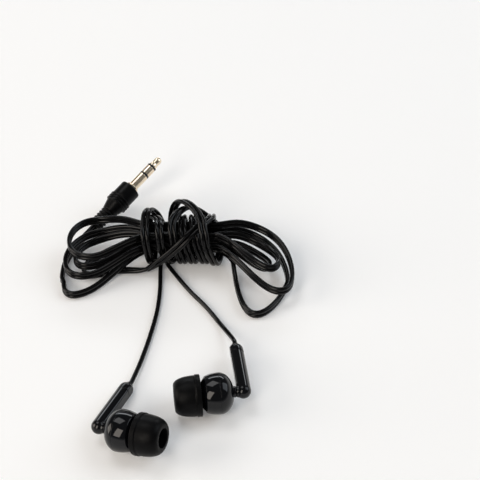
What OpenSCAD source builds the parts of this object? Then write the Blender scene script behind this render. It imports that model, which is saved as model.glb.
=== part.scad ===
// Wired in-ear earphones: two earpieces, a flat twin cord wound into a hank, and a 3.5 mm plug.
// Millimetres, +Z up. The origin is the middle of the earpieces' footprint, on the surface
// that they lie on. Each earpiece has its own frame: X is the way its ear tip points.

/* [Ear tip] */
// Radius of the skirt, at the rim
tip_r = 6.45; // [6.2:0.05:7]
// Length of the tip from the skirt's rim to its mouth
tip_l = 8.2; // [7.8:0.1:8.6]
// Radius of the flat front edge around the mouth
tip_front_r = 3.6; // [3.4:0.05:4]
// Radius of the mouth's opening
tip_mouth_r = 2.95; // [2.8:0.05:3.1]
// Wall of the soft skirt
tip_wall = 0.55; // [0.4:0.05:0.8]
// Wall of the tube that grips the nozzle
tip_tube_wall = 0.8; // [0.6:0.05:0.9]
// Width of the thicker band at the rim
tip_band_w = 1.5; // [1:0.1:2]

/* [Housing] */
// Outer radius of both housing halves
shell_r = 6.4; // [6.2:0.05:6.6]
// Wall of the housing
shell_wall = 0.8; // [0.7:0.05:0.9]
// Depth of the domed rear half
rear_l = 4.5; // [4.4:0.1:5]
// Radius of the flat at the back of the rear half
rear_flat_r = 2.6; // [2.4:0.05:2.8]
// Length of the front half's barrel-shaped side, from the seam to its front edge
front_side_l = 4.3; // [4:0.1:4.6]
// Radius of that front edge
front_edge_r = 5.6; // [5.4:0.05:5.8]
// Length of the front half from the seam to its front face
front_l = 5.9; // [5.6:0.1:6.1]
// Radius of the flat front face around the nozzle
front_face_r = 3.3; // [3:0.1:3.6]
// Depth of the ledge that the driver sits against, from the seam
ledge_x = 1.6; // [1.5:0.05:1.8]
// Width of that ledge
ledge_w = 0.8; // [0.7:0.05:0.9]
// Length of the nozzle
nozzle_l = 4.7; // [4.2:0.1:5]
// Radius of the nozzle's two lands, which the tip's tube fits
nozzle_land_r = 2.45; // [2.35:0.01:2.5]
// Radius of the nozzle between its lands
nozzle_r = 2.2; // [2.1:0.01:2.25]
// Radius of the nozzle's bore
nozzle_bore_r = 1.6; // [1.4:0.01:1.75]
// Length of each land
land_l = 1.1; // [0.8:0.1:1.4]

/* [Driver] */
// Length of the rear half's spigot, which clamps the driver
spigot_l = 0.6; // [0.5:0.05:0.7]
// Wall of that spigot
spigot_wall = 0.5; // [0.4:0.05:0.55]
// Wall of the driver's frame around the diaphragm
frame_wall = 0.35; // [0.3:0.01:0.38]
// Outer radius of the yoke
yoke_r = 3.6; // [3.58:0.01:3.65]
// Wall of the yoke
yoke_wall = 0.35; // [0.33:0.01:0.36]
// Base of the yoke
yoke_base = 0.5; // [0.4:0.05:0.6]
// Thickness of the magnet
magnet_t = 1; // [0.8:0.05:1.1]
// Thickness of the pole plate
pole_t = 0.4; // [0.3:0.05:0.45]
// Wall of the voice coil
coil_wall = 0.3; // [0.25:0.01:0.32]
// Height of the voice coil
coil_h = 1.2; // [1:0.05:1.25]
// Film thickness of the diaphragm
film_t = 0.1; // [0.08:0.01:0.12]
// Height of the diaphragm's centre dome
dome_h = 0.45; // [0.4:0.05:0.5]

/* [Stem] */
// Radius of the stem and of its rounded ends
stem_r = 2.35; // [2.25:0.05:2.5]
// Wall of the stem
stem_wall = 1; // [0.9:0.05:1.05]
// Distance from the seam back to the stem's axis
stem_back = 7.3; // [7.2:0.1:8]
// Length between the centres of the stem's rounded ends
stem_l = 18; // [16:0.5:22]
// Length of the cap's straight part
cap_l = 3.5; // [3:0.1:4.5]
// Radius of the neck between the stem and the housing
neck_r = 1.5; // [1.4:0.05:1.6]
// Radius of the neck's bore
neck_bore_r = 0.7; // [0.65:0.01:0.75]
// Radius of the rubber grommet that the lead leaves through
grommet_r = 1.2; // [1.15:0.05:1.3]
// Length of the grommet beyond the cap's rounded end
grommet_out = 0.6; // [0.4:0.1:1]

/* [Plug] */
// Radius of the plug's pin
pin_r = 1.75; // [1.7:0.01:1.8]
// Length of the pin in front of its flange
pin_l = 14.5; // [14:0.1:15]
// Length of the tip contact
contact_tip_l = 4.1; // [3.9:0.1:4.3]
// Length of the ring contact
contact_ring_l = 3.2; // [3:0.1:3.4]
// Length of each insulating band
band_l = 0.75; // [0.6:0.05:0.9]
// Radius of the flange behind the pin
flange_r = 2.3; // [2.2:0.1:2.5]
// Length of the flange in front of the boot
flange_l = 1; // [0.8:0.1:1.2]
// Radius of the boot's front cylinder
boot_r = 3.8; // [3.6:0.05:4]
// Length of that cylinder
boot_front_l = 5.2; // [4.8:0.1:5.6]
// Length of the ridged collar behind it
boot_step_l = 3.3; // [3:0.1:3.6]
// Length of the boot's taper
boot_taper_l = 3.4; // [3:0.1:4]
// Length of the ribbed strain relief
relief_l = 7.4; // [7:0.1:8.4]
// Number of ribs on the strain relief
relief_ribs = 6; // [4:1:7]
// Radius of the ribs
relief_r = 2.6; // [2.5:0.05:2.8]

/* [Cord] */
// Diameter of each of the cord's two strands
strand_d = 1.5; // [1.2:0.05:1.5]
// Vertical step between the layers of the hank
layer_step = 3.9; // [3.8:0.05:4.2]
// Height of the bottom layer's underside at the waist
waist_lift = 2.4; // [2.4:0.05:3]
// Half the waist's width at the innermost wrap
waist_half_y = 6.9; // [6.8:0.05:7.4]

/* [Hidden] */
$fn = 96;

// Clearances: between fixed pieces that fit, and around the pieces that vibrate.
fit_gap = 0.05;
moving_gap = 0.25;
seat_gap = 0.3;
arc_steps = 8;

// Housing and driver, along the earpiece's X.
shell_bore_r = shell_r - shell_wall;
flange_fit_r = shell_bore_r - fit_gap;
spigot_bore_r = flange_fit_r - spigot_wall;
spigot_root = 0.8;
frame_r = spigot_bore_r - 2 * fit_gap;
frame_bore_r = frame_r - frame_wall;
ledge_r = shell_bore_r - ledge_w;
nozzle_end = front_l + nozzle_l;
screen_t = 0.2;
screen_rim = 0.3;
chamber_l = 3;
front_side_power = 2.2;
rear_face = rear_l * sqrt(1 - pow(rear_flat_r / shell_r, 2));
neck_spigot_r = neck_bore_r + 0.4;
neck_spigot_l = 0.6;
pole_front = -0.1;
magnet_front = pole_front - pole_t;
yoke_floor = magnet_front - magnet_t;
yoke_back = yoke_floor - yoke_base;
yoke_bore_r = yoke_r - yoke_wall;
frame_floor = -0.15;
frame_back = yoke_back + 0.4;
coil_outer_r = yoke_bore_r - moving_gap;
coil_inner_r = coil_outer_r - coil_wall;
pole_r = coil_inner_r - moving_gap;
magnet_r = pole_r - 0.1;
coil_front = 0.35;
film_r = frame_bore_r - moving_gap;
surround_h = 0.3;
grille_t = 0.2;
grille_front = ledge_x - 0.1;
grille_hole_r = 0.45;
grille_ring_r = 2.4;
grille_holes = 6;
board_w = 3.2;
board_h = 2;
board_t = 0.4;
board_back = yoke_back - board_t;

// Ear tip.
tip_lap = 0.2;
tip_rim = front_l - tip_lap;
tip_mouth = tip_rim + tip_l;
tip_bore_r = nozzle_land_r + fit_gap;
tip_tube_r = tip_bore_r + tip_tube_wall;
tip_tube_back = front_l + seat_gap;
tip_step = 0.2;
tip_shoulder_power = 0.75;

// Stem, along the earpiece's stem line.
stem_bore_r = stem_r - stem_wall;
stem_bore_start = -0.9;
cap_start = stem_l - cap_l;
cap_spigot_l = 2;
cap_seat = 1;
cable_r = strand_d / 2;
cable_bore_r = cable_r + fit_gap;
grommet_bore_r = cable_r + fit_gap / 2;
cap_end = stem_l + sqrt(pow(stem_r, 2) - pow(grommet_r, 2));
stem_out = cap_end + grommet_out;
knot_r = stem_bore_r - 3 * fit_gap;
knot_l = 2;
knot_end = cap_start - cap_spigot_l;
wire_r = 0.25;
wire_y = 0.35;

// Where each earpiece lies: a point on the surface, the way its tip points, the tip's
// upward tilt, the side its stem leaves on, the height of its axis at the seam and that of
// the stem's far end. The left stem lies down; the lead holds the right one up.
left_tilt = 9.9;
left_height = sqrt(pow(rear_l * sin(left_tilt), 2) + pow(shell_r * cos(left_tilt), 2));
LEFT = [[-14.7, -13], -20.4, left_tilt, 1, left_height, stem_r];
RIGHT = [[14.3, 1.1], -172.6, 0, -1, max(tip_r, shell_r), 4.9];

function unit(v) = v / norm(v);
function lies_at(e) = [e[0][0], e[0][1], e[4]];
function tip_way(e) = [cos(e[2]) * cos(e[1]), cos(e[2]) * sin(e[1]), sin(e[2])];
function side_way(e) = [-sin(e[1]), cos(e[1]), 0];
function knob_height(e) = e[4] - stem_back * sin(e[2]);
function stem_roll(e) = -e[3] * asin((knob_height(e) - e[5]) / (stem_l * cos(e[2])));
function stem_way(e) = let (up = cross(tip_way(e), side_way(e)))
    e[3] * (side_way(e) * cos(stem_roll(e)) + up * sin(stem_roll(e)));
function stem_point(e, along) = lies_at(e) - tip_way(e) * stem_back + stem_way(e) * along;

// Plug, along its own axis from the cord's end of the strain relief.
plug_at = [-30.8, 80.4, relief_r + fit_gap];
plug_turn = 47.6;
plug_tilt = 18;
plug_way = [cos(plug_tilt) * cos(plug_turn), cos(plug_tilt) * sin(plug_turn), sin(plug_tilt)];
boot_step_at = relief_l + boot_taper_l;
boot_front_at = boot_step_at + boot_step_l;
boot_end = boot_front_at + boot_front_l;
pin_start = boot_end + flange_l;
pin_end = pin_start + pin_l;
tip_contact_at = pin_end - contact_tip_l;
ring_front = tip_contact_at - band_l;
ring_back = ring_front - contact_ring_l;
sleeve_front = ring_back - band_l;
relief_groove = 0.35;
relief_core_r = relief_r - relief_groove;
relief_pitch = relief_l / relief_ribs;
boot_step_r = boot_r - 0.1;
boot_taper_r = boot_r - 0.2;
ridges = 3;
ridge_r = boot_r + 0.3;
ridge_w = 0.65;
boot_bevel = 0.3;
ridge_bevel = 0.1;
shank_r = 2;
shank_l = 2.2;
terminal_step = 0.7;
wiring_l = 2.7;
shank_start = boot_end - shank_l;
ring_liner_start = shank_start - terminal_step;
ring_tube_start = ring_liner_start - terminal_step;
tip_liner_start = ring_tube_start - terminal_step;
tip_rod_start = tip_liner_start - terminal_step;
cavity_start = tip_rod_start - wiring_l;
jacket_in = 0.2;
jacket_end = cavity_start + jacket_in;
rod_r = 0.45;
tip_liner_r = 0.65;
ring_tube_r = 0.95;
ring_liner_r = 1.25;
web_w = 0.5;
// The tip contact's outline, as parts of the pin's radius and of the contact's length.
tip_profile = [[1, 0], [1, 0.12], [0.72, 0.32], [0.7, 0.41], [0.97, 0.61], [0.9, 0.73], [0.45, 0.95],
    [0.25, 1]];

// The cord: two strands side by side, so a section is a strand and a half wide either way.
strand_r = strand_d / 2;
full_turn = 360;
loop_rings = 24;
loop_sides = 6;
run_sides = 8;
run_steps = 3;

// The hank: loops that lie the same way, drawn in at the waist. Each row gives one fold
// after another: reach from the waist, half width, and how far it sags towards the front.
waist = [0.8, 68.3];
waist_half_l = 11;
left_folds = [[39.6, 10, 0.66], [39.5, 9.2, 0.34], [38.4, 9, 0.09], [36.2, 6.4, 0.34], [33.6, 4.2, 0.5]];
right_folds = [[35.8, 9.8, 0.75], [37.2, 11.4, 0.72], [32.6, 7, 0.72], [29.8, 5, 0.7]];
near_step = [0.75, 4.1, 2.8, 1.5, 2.2];
far_step = [4.4, 2.8, 1.95, 2.4];
fold_layer = [0, 1, 2, 1, 0];
hank_rings = 98;
fold_ease = 3.5;
sag_ease = 6;
climb_from = 0.46;
climb_to = 0.62;
low_loop = 10.7;
low_loop_back = 5.9;
low_loop_from = 0.329;
low_loop_to = 0.5;
low_loop_skew = 0.82;
low_loop_power = 1.3;
low_loop_settle = 0.4;
lift_near = 17;
lift_far = 31;

function ease(t) = let (c = min(1, max(0, t))) c * c * (3 - 2 * c);
function past_waist(x, soft) = let (m = max(0, abs(x) - waist_half_l)) sqrt(m * m + soft * soft) - soft;
function fold_width(x, reach) = past_waist(x, fold_ease) / past_waist(reach, fold_ease);
function low_loop_share(u) = u > low_loop_from && u < low_loop_to
    ? pow(sin(180 * pow((u - low_loop_from) / (low_loop_to - low_loop_from), low_loop_skew)), low_loop_power)
    : 0;
// A point of the hank after u loops, counted from the left fold of the first one.
function hank_point(u) = let (
    turn = 180 + full_turn * u,
    loop = floor(u),
    side = sin(turn),
    fold = cos(turn) < 0 ? left_folds[round(u)] : right_folds[min(loop, 3)],
    x = fold[0] * cos(turn),
    step = side <= 0 ? near_step[loop] : far_step[min(loop, 3)],
    y = side * (step + 2 * fold[1] * fold_width(x, fold[0])) - fold[2] * past_waist(x, sag_ease),
    climbed = ease((u - loop - climb_from) / (climb_to - climb_from)),
    layer = fold_layer[loop] + (fold_layer[min(loop + 1, 4)] - fold_layer[loop]) * climbed,
    loose = low_loop_share(u),
    lift = waist_lift * (1 - ease((abs(x) - lift_near) / (lift_far - lift_near)))
        * (1 - ease(loose / low_loop_settle)))
    [waist[0] + x - low_loop_back * loose, waist[1] + y - low_loop * loose,
    strand_d + layer * layer_step + lift];

// The wraps round the waist, by the angle turned: 0 in front, 90 on top. Where each lies
// along the waist, and how far it stands off the innermost layer. The last turns are the
// loose arch and the two wraps at the left, and the cord leaves underneath, to the front.
wrap_x = [[-60, -17.1], [90, 11.3], [130, 11.1], [180, 9.9], [270, 7.5], [360, 6], [720, 2.35],
    [1080, -1.3], [1165, -2.2], [1190, 0.2], [1240, 7.7], [1280, 12.5], [1350, 11.4], [1440, 9.9],
    [1530, 7.7], [1575, -0.8], [1600, -3.9], [1710, -3.6], [1760, -5.7], [1800, -6.3], [1895, -6.3],
    [1915, -7.1], [1950, -11.6], [2070, -11.6], [2290, -11.1], [2330, -7.8], [2500, -7.85]];
wrap_off = [[-60, 2.35], [85, 2.35], [125, 0.1], [1120, 0.1], [1155, 2.2], [1175, 3], [1205, 3],
    [1240, 2.3], [1285, 2.2], [1315, 0.1], [1350, 0.1], [1385, 0.2], [1450, 2.2], [1530, 5.4], [1570, 5.2],
    [1600, 3], [1640, 0.1], [1830, 0.1], [1875, 2], [1885, 2], [1905, 0.1], [2190, 0.1],
    [2250, 0.8], [2295, 2.4], [2345, 2.4], [2372, 0.1], [2500, 0.1]];
wrap_from = -30;
wrap_rings = 164;
wrap_lean = 1.3;
wrap_square = 3;
wrap_soften = 10;
waist_half_z = 6.9;
waist_mid_z = waist_lift + layer_step + strand_d;

function softened(t, table) = (lookup(t - 2 * wrap_soften, table) + lookup(t - wrap_soften, table)
    + lookup(t, table) + lookup(t + wrap_soften, table) + lookup(t + 2 * wrap_soften, table)) / 5;
function wrap_out(t) = [0, -cos(t), sin(t)];
function wrap_radius(t, off) = pow(pow(abs(cos(t)) / (waist_half_y + off), wrap_square)
    + pow(abs(sin(t)) / (waist_half_z + off), wrap_square), -1 / wrap_square);
function wrap_point(t) = [waist[0] + softened(t, wrap_x) - wrap_lean * sin(t), waist[1], waist_mid_z]
    + wrap_out(t) * wrap_radius(t, softened(t, wrap_off));

// A ring of a twin cord's section: w is the way across both strands, n the way through one.
function twin_section(sides) = [for (i = [0:sides - 1]) let (a = full_turn * (i + (sides == 6 ? 0 : 0.5)) / sides)
    [strand_r * (cos(a) + sign(round(cos(a) * 100))), strand_r * sin(a)]];
function round_section(sides) = [for (i = [0:sides - 1]) let (a = full_turn * (i + 0.5) / sides)
    [cable_r * cos(a), cable_r * sin(a)]];
function way(p, i) = unit(p[min(i + 1, len(p) - 1)] - p[max(i - 1, 0)]);
function ways(p) = [for (i = [0:len(p) - 1]) way(p, i)];
function across_upright(t) = unit([0, 0, 1] - t * t[2]);
function across_leaning(t, lean) = across_upright(t) * cos(lean) + unit(cross(t, [0, 0, 1])) * sin(lean);

// Points along a smooth curve through the given ones.
function curve_at(a, b, c, d, t) = 0.5 * (2 * b + (c - a) * t + (2 * a - 5 * b + 4 * c - d) * t * t
    + (3 * b - a - 3 * c + d) * t * t * t);
function curve(p) = [for (i = [0:len(p) - 2], k = [0:run_steps - 1])
    curve_at(p[max(i - 1, 0)], p[i], p[i + 1], p[min(i + 2, len(p) - 1)], k / run_steps), p[len(p) - 1]];

// The wound stretches, each with one strand's thickness of straight cord at its ends.
function with_straight_ends(p) = concat([p[0] + unit(p[0] - p[1]) * strand_d], p,
    [p[len(p) - 1] + unit(p[len(p) - 1] - p[len(p) - 2]) * strand_d]);
hank_path = with_straight_ends([for (i = [0:hank_rings]) hank_point(i / loop_rings)]);
hank_across = [for (t = ways(hank_path)) across_upright(t)];
wrap_turn = full_turn / loop_rings;
wrap_path = with_straight_ends([for (i = [0:wrap_rings]) wrap_point(wrap_from + i * wrap_turn)]);
wrap_across = [for (i = [0:wrap_rings + 2]) let (t = wrap_from + (i - 1) * wrap_turn)
    unit(cross(wrap_out(t), way(wrap_path, i)))];
hank_end = hank_path[len(hank_path) - 1];
wrap_end = wrap_path[len(wrap_path) - 1];

// The stretches that lie free, by hand-chosen points.
tail_points = [plug_at, plug_at - plug_way * 2, [-34, 76.2, 1.6], [-36.2, 71.5, 1.5], [-38.3, 66.5, 1.5],
    [-39.6, 61.5, 1.5], hank_path[1] + unit(hank_path[0] - hank_path[1]) * 3, hank_path[0]];
bridge_points = [hank_end, [-24.6, 58.9, 1.3], [-21.6, 60, 0.85], [-18, 60.2, 0.87], [-14.6, 60, 1],
    wrap_path[0]];
bridge_lean = [[0, 0], [1, 60], [2, 85], [3, 85], [4, 75], [5, 45]];
lead_parting = 0.1;
left_lead_points = [wrap_end + [-strand_r, 0, 0], wrap_end + [-strand_r - lead_parting, -strand_d, 0],
    [-6.7, 61, 0.75], [-6.4, 51, 0.75], [-6.9, 41, 0.75], [-8.6, 30, 0.75], [-10.9, 19, 0.9], stem_point(LEFT, stem_out + 2),
    stem_point(LEFT, stem_out)];
right_lead_points = [wrap_end + [strand_r, 0, 0], wrap_end + [strand_r + lead_parting, -strand_d, 0],
    [-3.7, 62, 0.75], [3.2, 51, 0.75], [9.2, 43, 0.75], [14.3, 34.8, 0.85], [17.1, 28.8, 2.6], stem_point(RIGHT, stem_out + 2),
    stem_point(RIGHT, stem_out)];

// A tube swept along a path: one ring of the section at each point, and flat ends.
module swept(path, across, section) {
    sides = len(section);
    rings = len(path);
    points = [for (i = [0:rings - 1], s = section)
        path[i] + across[i] * s[0] + cross(way(path, i), across[i]) * s[1]];
    skin = [for (i = [0:rings - 2], k = [0:sides - 1]) let (
        a = i * sides + k,
        b = i * sides + (k + 1) % sides)
        each [[a, a + sides, b], [b, a + sides, b + sides]]];
    ends = [for (k = [1:sides - 2]) each [[0, k, k + 1],
        [(rings - 1) * sides, (rings - 1) * sides + k + 1, (rings - 1) * sides + k]]];
    polyhedron(points = points, faces = concat(skin, ends), convexity = 10);
}

// The least gap between strands, measured from each point to each stretch between points.
function to_stretch(p, a, b) = let (d = b - a, t = min(1, max(0, ((p - a) * d) / (d * d)))) norm(p - a - d * t);
function strand(path, across, side) = [for (i = [0:len(path) - 1]) path[i] + across[i] * side * strand_r];
function least_gap(p, q, apart) = min([for (i = [0:len(p) - 1], k = [0:len(q) - 2])
    if (abs(i - k) > apart && abs(i - k - 1) > apart) to_stretch(p[i], q[k], q[k + 1])]) - strand_d;
function twin_gap(p, pa, q, qa, apart) = min([for (s = [-1, 1], t = [-1, 1])
    least_gap(strand(p, pa, s), strand(q, qa, t), apart)]);

// Turned solids: the outline is [radius, distance along X].
module turned(outline) rotate([0, 90, 0]) rotate_extrude() polygon(outline);
module rod(from, to, r) translate([from, 0, 0]) rotate([0, 90, 0]) cylinder(h = to - from, r = r);
module earpiece(e) translate(lies_at(e)) rotate([0, 0, e[1]]) rotate([0, -e[2], 0])
    rotate([stem_roll(e), 0, 0]) children();
// The stem's own frame: X runs along the stem from the knob, on the earpiece's own side.
module along_stem(e) earpiece(e) translate([-stem_back, 0, 0]) rotate([0, 0, 90 * e[3]]) children();
module plug() translate(plug_at) rotate([0, 0, plug_turn]) rotate([0, -plug_tilt, 0]) children();

module ear_tip() {
    band_x = tip_rim + tip_band_w;
    dome_r = tip_r - tip_step;
    dome_l = tip_mouth - band_x;
    outer = [for (i = [0:arc_steps]) let (a = 90 * i / arc_steps)
        [tip_front_r + (dome_r - tip_front_r) * pow(cos(a), tip_shoulder_power),
        band_x + dome_l * pow(sin(a), tip_shoulder_power)]];
    inner_l = dome_l - 2 * tip_wall;
    inner = [for (i = [arc_steps:-1:0]) let (a = 90 * i / arc_steps)
        [tip_tube_r + (dome_r - tip_wall - tip_tube_r) * pow(cos(a), tip_shoulder_power),
        band_x + inner_l * pow(sin(a), tip_shoulder_power)]];
    color("#1b1c1e") turned(concat([[tip_r - tip_wall, tip_rim], [tip_r, tip_rim], [tip_r, band_x]],
        outer,
        [[tip_mouth_r, tip_mouth], [tip_mouth_r, nozzle_end + seat_gap],
        [tip_bore_r, nozzle_end + seat_gap], [tip_bore_r, tip_tube_back], [tip_tube_r, tip_tube_back]],
        inner));
}

module nozzle_screen() {
    color("silver") rod(nozzle_end - screen_t, nozzle_end, nozzle_bore_r + screen_rim);
}

module front_housing() {
    side = [for (i = [0:arc_steps]) let (t = i / arc_steps)
        [shell_r - (shell_r - front_edge_r) * pow(t, front_side_power), front_side_l * t]];
    screen_seat_r = nozzle_bore_r + screen_rim + fit_gap;
    color("#10141c") turned(concat([[shell_bore_r, 0]], side, [[front_face_r, front_l],
        [nozzle_land_r, front_l], [nozzle_land_r, front_l + land_l], [nozzle_r, front_l + land_l],
        [nozzle_r, nozzle_end - land_l], [nozzle_land_r, nozzle_end - land_l],
        [nozzle_land_r, nozzle_end], [screen_seat_r, nozzle_end],
        [screen_seat_r, nozzle_end - screen_t], [nozzle_bore_r, nozzle_end - screen_t],
        [nozzle_bore_r, ledge_x + chamber_l], [ledge_r, ledge_x], [shell_bore_r, ledge_x]]));
}

module driver_grille() {
    color("dimgray") difference() {
        rod(grille_front - grille_t, grille_front, frame_bore_r - fit_gap);
        for (i = [0:grille_holes - 1]) rotate([full_turn * i / grille_holes, 0, 0])
            translate([0, 0, grille_ring_r])
            rod(grille_front - 2 * grille_t, grille_front + grille_t, grille_hole_r);
    }
}

module diaphragm() {
    surround_mid = (coil_outer_r + film_r) / 2;
    under = [[0, dome_h], [coil_inner_r * 0.6, dome_h * 0.7], [coil_inner_r, 0], [coil_outer_r, 0],
        [surround_mid, surround_h], [film_r, 0]];
    over = [[film_r, 0], [surround_mid, surround_h], [coil_outer_r, 0], [coil_inner_r * 0.6, dome_h * 0.7],
        [0, dome_h]];
    color("#c9b37a") translate([coil_front, 0, 0])
        turned(concat(under, [for (p = over) p + [0, film_t]]));
}

module voice_coil() {
    color("#b4692f") turned([[coil_inner_r, coil_front - coil_h], [coil_outer_r, coil_front - coil_h],
        [coil_outer_r, coil_front], [coil_inner_r, coil_front]]);
}

module driver_frame() {
    yoke_fit_r = yoke_r + fit_gap;
    color("#3a3a3c") turned([[flange_fit_r, spigot_l], [flange_fit_r, ledge_x], [frame_bore_r, ledge_x],
        [frame_bore_r, frame_floor], [yoke_fit_r, frame_floor], [yoke_fit_r, frame_back],
        [frame_r, frame_back], [frame_r, spigot_l]]);
}

module yoke() {
    color("gray") turned([[0, yoke_back], [yoke_r, yoke_back], [yoke_r, pole_front],
        [yoke_bore_r, pole_front], [yoke_bore_r, yoke_floor], [0, yoke_floor]]);
}

module magnet() {
    color("lightgray") rod(yoke_floor, magnet_front, magnet_r);
}

module pole_plate() {
    color("gray") rod(magnet_front, pole_front, pole_r);
}

module terminal_board() {
    color("darkgreen") translate([board_back, -board_w / 2, -board_h / 2]) cube([board_t, board_w, board_h]);
}

module rear_housing() {
    outer = [for (i = [0:arc_steps]) let (a = asin(rear_face / rear_l) * i / arc_steps)
        [shell_r * cos(a), -rear_l * sin(a)]];
    bore_l = rear_l - shell_wall;
    hole_r = neck_spigot_r + fit_gap;
    floor_x = rear_face - neck_spigot_l;
    root_a = asin(spigot_root / bore_l);
    floor_a = asin(floor_x / bore_l);
    inner = [for (i = [arc_steps:-1:0]) let (a = root_a + (floor_a - root_a) * i / arc_steps)
        [shell_bore_r * cos(a), -bore_l * sin(a)]];
    color("#10141c") turned(concat(outer, [[hole_r, -rear_face], [hole_r, -floor_x]], inner,
        [[spigot_bore_r, -spigot_root], [spigot_bore_r, spigot_l], [flange_fit_r, spigot_l],
        [flange_fit_r, 0]]));
}

module stem(e) {
    neck_start = stem_back - rear_face;
    color("#10141c") difference() {
        union() {
            along_stem(e) rod(0, cap_start, stem_r);
            along_stem(e) sphere(r = stem_r);
            earpiece(e) rod(-stem_back, -stem_back + neck_start, neck_r);
            earpiece(e) rod(-stem_back, -stem_back + neck_start + neck_spigot_l, neck_spigot_r);
        }
        along_stem(e) rod(stem_bore_start, cap_start + 1, stem_bore_r);
        earpiece(e) rod(-stem_back, 0, neck_bore_r);
    }
}

module stem_cap() {
    rounded = [for (i = [0:arc_steps]) let (a = acos(grommet_r / stem_r) * i / arc_steps)
        [stem_r * cos(a), stem_l + stem_r * sin(a)]];
    color("#10141c") turned(concat([[cable_bore_r, knot_end], [stem_bore_r - fit_gap, knot_end],
        [stem_bore_r - fit_gap, cap_start], [stem_r, cap_start]], rounded,
        [[grommet_r, stem_l - cap_seat], [cable_bore_r, stem_l - cap_seat]]));
}

module cable_grommet() {
    color("#141414") turned([[grommet_bore_r, stem_l - cap_seat], [grommet_r, stem_l - cap_seat],
        [grommet_r, stem_out], [grommet_bore_r, stem_out]]);
}

module cable_end() {
    color("#141414") {
        rod(knot_end - knot_l / 2, stem_out, cable_r);
        turned([[0, knot_end - knot_l], [knot_r * 0.7, knot_end - knot_l], [knot_r, knot_end - knot_l * 0.7],
            [knot_r, knot_end - knot_l * 0.3], [knot_r * 0.85, knot_end], [0, knot_end]]);
    }
}

module driver_wires(e) {
    wires_end = knot_end - knot_l;
    color("#b4692f") for (side = [-1, 1]) {
        earpiece(e) translate([0, 0, side * wire_y]) rod(-stem_back, board_back, wire_r);
        earpiece(e) translate([-stem_back, 0, side * wire_y]) sphere(r = wire_r);
        along_stem(e) translate([0, 0, side * wire_y]) rod(0, wires_end, wire_r);
    }
}

module plug_tip() {
    color("gold") turned(concat([[0, tip_rod_start], [rod_r, tip_rod_start], [rod_r, tip_contact_at]],
        [for (p = tip_profile) [pin_r * p[0], tip_contact_at + contact_tip_l * p[1]]], [[0, pin_end]]));
}

module plug_tip_insulator() {
    color("#17171a") turned([[rod_r, tip_liner_start], [tip_liner_r, tip_liner_start],
        [tip_liner_r, ring_front], [pin_r, ring_front], [pin_r, tip_contact_at], [rod_r, tip_contact_at]]);
}

module plug_ring() {
    color("gold") turned([[tip_liner_r, ring_tube_start], [ring_tube_r, ring_tube_start],
        [ring_tube_r, ring_back], [pin_r, ring_back], [pin_r, ring_front], [tip_liner_r, ring_front]]);
}

module plug_ring_insulator() {
    color("#17171a") turned([[ring_tube_r, ring_liner_start], [ring_liner_r, ring_liner_start],
        [ring_liner_r, sleeve_front], [pin_r, sleeve_front], [pin_r, ring_back], [ring_tube_r, ring_back]]);
}

module plug_sleeve() {
    color("gold") difference() {
        union() {
            rod(shank_start, boot_end, shank_r);
            rod(boot_end, pin_start, flange_r);
            rod(pin_start, sleeve_front, pin_r);
        }
        rod(shank_start - 1, sleeve_front + 1, ring_liner_r);
    }
}

module plug_boot() {
    relief = [for (i = [0:relief_ribs - 1]) each [
        [relief_core_r, relief_pitch * i], [relief_r, relief_pitch * (i + 0.12)],
        [relief_r, relief_pitch * (i + 0.55)], [relief_core_r, relief_pitch * (i + 0.68)]]];
    collar = [for (i = [0:ridges - 1]) let (at = boot_step_at + boot_step_l * (i + 0.15) / ridges) each [
        [boot_step_r, at], [ridge_r, at + ridge_bevel], [ridge_r, at + ridge_w],
        [boot_step_r, at + ridge_w + ridge_bevel]]];
    color("#141414") difference() {
        turned(concat([[0, 0]], relief, [[relief_r, relief_l], [boot_taper_r, boot_step_at],
            [boot_step_r, boot_step_at]], collar,
            [[boot_step_r, boot_front_at], [boot_r, boot_front_at + boot_bevel],
            [boot_r, boot_end - boot_bevel], [boot_r - boot_bevel, boot_end], [0, boot_end]]));
        rod(cavity_start, boot_end + 1, shank_r + fit_gap);
        for (side = [-1, 1]) translate([0, 0, side * strand_r])
            rod(-1, cavity_start + 1, cable_bore_r);
    }
}

module plug_cord_end() {
    color("#141414") {
        for (side = [-1, 1]) translate([0, 0, side * strand_r]) rod(0, jacket_end, strand_r);
        translate([0, -web_w / 2, -strand_r / 2]) cube([jacket_end, web_w, strand_r]);
    }
}

module plug_wires() {
    color("#b4692f") {
        translate([0, 0, tip_liner_r + wire_r + fit_gap]) rod(jacket_end, ring_tube_start, wire_r);
        rod(jacket_end, tip_rod_start, wire_r);
        translate([0, 0, (ring_liner_r + shank_r) / 2]) rod(jacket_end, shank_start, wire_r);
    }
}

module main_cord_tail() {
    path = curve(tail_points);
    color("#141414") swept(path, [for (t = ways(path)) across_upright(t)], twin_section(run_sides));
}

module main_cord_hank() {
    color("#141414") swept(hank_path, hank_across, twin_section(loop_sides));
    echo(hank_gap = twin_gap(hank_path, hank_across, hank_path, hank_across, 3));
}

module main_cord_bridge() {
    path = curve(bridge_points);
    across = [for (i = [0:len(path) - 1]) across_leaning(way(path, i), lookup(i / run_steps, bridge_lean))];
    color("#141414") swept(path, across, twin_section(run_sides));
}

module main_cord_wrap() {
    color("#141414") swept(wrap_path, wrap_across, twin_section(loop_sides));
    echo(wrap_gap = twin_gap(wrap_path, wrap_across, wrap_path, wrap_across, 3),
        wrap_to_hank_gap = twin_gap(wrap_path, wrap_across, hank_path, hank_across, -2));
}

module lead(points) {
    path = curve(points);
    color("#141414") swept(path, [for (t = ways(path)) across_upright(t)], round_section(run_sides));
}

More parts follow.
